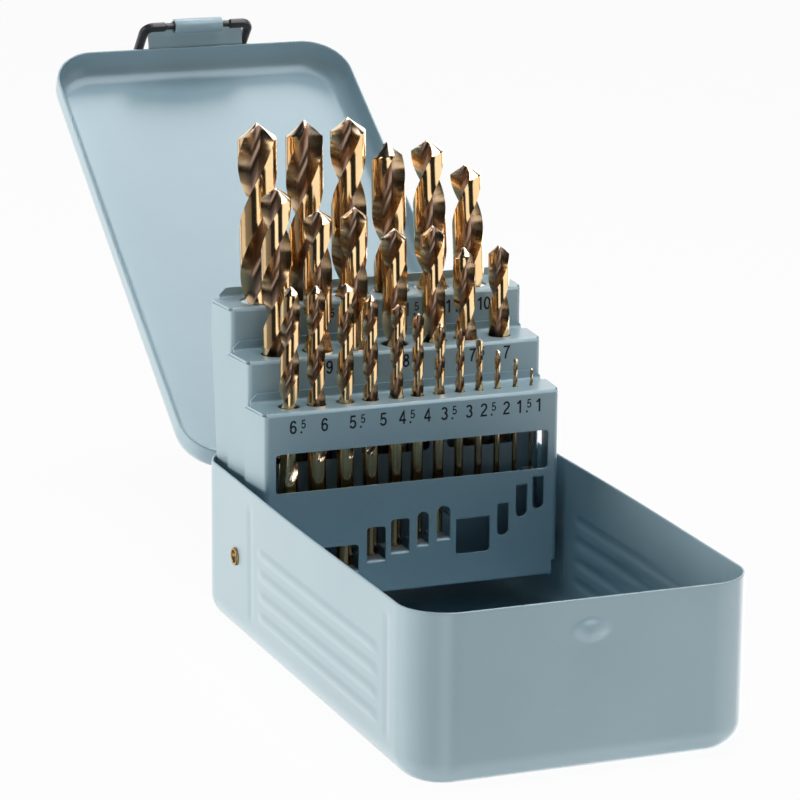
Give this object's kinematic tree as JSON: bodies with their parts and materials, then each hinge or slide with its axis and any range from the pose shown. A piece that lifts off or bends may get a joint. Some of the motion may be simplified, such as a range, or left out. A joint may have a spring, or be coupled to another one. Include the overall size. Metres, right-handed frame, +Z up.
{
  "type": "drill bit case",
  "caption": "Hinged painted steel case with a fold-up stepped holder carrying a graded set of twist drill bits, shown open",
  "frame": {"origin": "the middle of the tray's flat underside, which stands on the table", "axes": "X runs across the case, Y from the front, where the lid fastens, to the hinge, Z up; the lid is stored open and the holder upright"},
  "size_m": [0.1124, 0.3736, 0.1707],
  "materials": {
    "paint": "glossy grey-blue stoved paint on pressed steel",
    "catch_black": "black, slightly glossy",
    "eyelet": "plain rolled brass eyelet",
    "bit": "straw-gold and bronze temper colour, ground flutes"
  },
  "bodies": {
    "case": {"tray": "paint", "hinge_pin": "paint", "eyelet_left": "eyelet", "eyelet_right": "eyelet"},
    "cover": {"lid": "paint"},
    "catch": {"bail": "catch_black"},
    "holder": {"front_tier": "paint", "middle_tier": "paint", "rear_tier": "paint"},
    "drill_13_0": {"bit_13_0": "bit"},
    "drill_12_5": {"bit_12_5": "bit"},
    "drill_12_0": {"bit_12_0": "bit"},
    "drill_11_5": {"bit_11_5": "bit"},
    "drill_11_0": {"bit_11_0": "bit"},
    "drill_10_5": {"bit_10_5": "bit"},
    "drill_10_0": {"bit_10_0": "bit"},
    "drill_9_5": {"bit_9_5": "bit"},
    "drill_9_0": {"bit_9_0": "bit"},
    "drill_8_5": {"bit_8_5": "bit"},
    "drill_8_0": {"bit_8_0": "bit"},
    "drill_7_5": {"bit_7_5": "bit"},
    "drill_7_0": {"bit_7_0": "bit"},
    "drill_6_5": {"bit_6_5": "bit"},
    "drill_6_0": {"bit_6_0": "bit"},
    "drill_5_5": {"bit_5_5": "bit"},
    "drill_5_0": {"bit_5_0": "bit"},
    "drill_4_5": {"bit_4_5": "bit"},
    "drill_4_0": {"bit_4_0": "bit"},
    "drill_3_5": {"bit_3_5": "bit"},
    "drill_3_0": {"bit_3_0": "bit"},
    "drill_2_5": {"bit_2_5": "bit"},
    "drill_2_0": {"bit_2_0": "bit"},
    "drill_1_5": {"bit_1_5": "bit"},
    "drill_1_0": {"bit_1_0": "bit"}
  },
  "joints": [
    {"name": "lid_hinge", "type": "hinge", "parent": "case", "child": "cover", "pos_m": [0, 0.0992, 0.0503], "axis": [-1, 0, 0], "range_deg": [-145.5, 0]},
    {"name": "holder_pivot", "type": "hinge", "parent": "case", "child": "holder", "pos_m": [0, 0.0592, 0.0279], "axis": [-1, 0, 0], "range_deg": [-90, 0]},
    {"name": "catch_pivot", "type": "hinge", "parent": "cover", "child": "catch", "pos_m": [0, 0.26025, 0.16802], "axis": [-1, 0, 0], "range_deg": [-178, 0]},
    {"name": "lift_13_0", "type": "slide", "parent": "holder", "child": "drill_13_0", "axis": [-0.0209, 0, 0.9998], "range_m": [0, 0.0981]},
    {"name": "lift_12_5", "type": "slide", "parent": "holder", "child": "drill_12_5", "axis": [-0.0175, 0, 0.9998], "range_m": [0, 0.0981]},
    {"name": "lift_12_0", "type": "slide", "parent": "holder", "child": "drill_12_0", "axis": [-0.0175, 0, 0.9998], "range_m": [0, 0.0981]},
    {"name": "lift_11_5", "type": "slide", "parent": "holder", "child": "drill_11_5", "axis": [-0.0349, 0, 0.9994], "range_m": [0, 0.0981]},
    {"name": "lift_11_0", "type": "slide", "parent": "holder", "child": "drill_11_0", "axis": [-0.0454, 0, 0.999], "range_m": [0, 0.0981]},
    {"name": "lift_10_5", "type": "slide", "parent": "holder", "child": "drill_10_5", "axis": [-0.0489, 0, 0.9988], "range_m": [0, 0.0981]},
    {"name": "lift_10_0", "type": "slide", "parent": "holder", "child": "drill_10_0", "axis": [-0.0087, 0, 1], "range_m": [0, 0.0843]},
    {"name": "lift_9_5", "type": "slide", "parent": "holder", "child": "drill_9_5", "axis": [0, 0, 1], "range_m": [0, 0.0843]},
    {"name": "lift_9_0", "type": "slide", "parent": "holder", "child": "drill_9_0", "axis": [-0.0087, 0, 1], "range_m": [0, 0.0843]},
    {"name": "lift_8_5", "type": "slide", "parent": "holder", "child": "drill_8_5", "axis": [-0.0175, 0, 0.9998], "range_m": [0, 0.0843]},
    {"name": "lift_8_0", "type": "slide", "parent": "holder", "child": "drill_8_0", "axis": [-0.0244, 0, 0.9997], "range_m": [0, 0.0843]},
    {"name": "lift_7_5", "type": "slide", "parent": "holder", "child": "drill_7_5", "axis": [-0.0419, 0, 0.9991], "range_m": [0, 0.0843]},
    {"name": "lift_7_0", "type": "slide", "parent": "holder", "child": "drill_7_0", "axis": [-0.0175, 0, 0.9998], "range_m": [0, 0.0843]},
    {"name": "lift_6_5", "type": "slide", "parent": "holder", "child": "drill_6_5", "axis": [0.014, 0, 0.9999], "range_m": [0, 0.0675]},
    {"name": "lift_6_0", "type": "slide", "parent": "holder", "child": "drill_6_0", "axis": [-0.007, 0, 1], "range_m": [0, 0.0598]},
    {"name": "lift_5_5", "type": "slide", "parent": "holder", "child": "drill_5_5", "axis": [0, 0, 1], "range_m": [0, 0.0598]},
    {"name": "lift_5_0", "type": "slide", "parent": "holder", "child": "drill_5_0", "axis": [-0.0035, 0, 1], "range_m": [0, 0.0572]},
    {"name": "lift_4_5", "type": "slide", "parent": "holder", "child": "drill_4_5", "axis": [0.0105, 0, 0.9999], "range_m": [0, 0.0551]},
    {"name": "lift_4_0", "type": "slide", "parent": "holder", "child": "drill_4_0", "axis": [0.0035, 0, 1], "range_m": [0, 0.0535]},
    {"name": "lift_3_5", "type": "slide", "parent": "holder", "child": "drill_3_5", "axis": [0.0087, 0, 1], "range_m": [0, 0.0522]},
    {"name": "lift_3_0", "type": "slide", "parent": "holder", "child": "drill_3_0", "axis": [0.007, 0, 1], "range_m": [0, 0.0457]},
    {"name": "lift_2_5", "type": "slide", "parent": "holder", "child": "drill_2_5", "axis": [0, 0, 1], "range_m": [0, 0.0457]},
    {"name": "lift_2_0", "type": "slide", "parent": "holder", "child": "drill_2_0", "axis": [0, 0, 1], "range_m": [0, 0.0419]},
    {"name": "lift_1_5", "type": "slide", "parent": "holder", "child": "drill_1_5", "axis": [0, 0, 1], "range_m": [0, 0.0362]},
    {"name": "lift_1_0", "type": "slide", "parent": "holder", "child": "drill_1_0", "axis": [0, 0, 1], "range_m": [0, 0.034]}
  ],
  "couplings": [
    {"joint": "holder_pivot", "follows": "lid_hinge", "ratio": 0.61856}
  ]
}
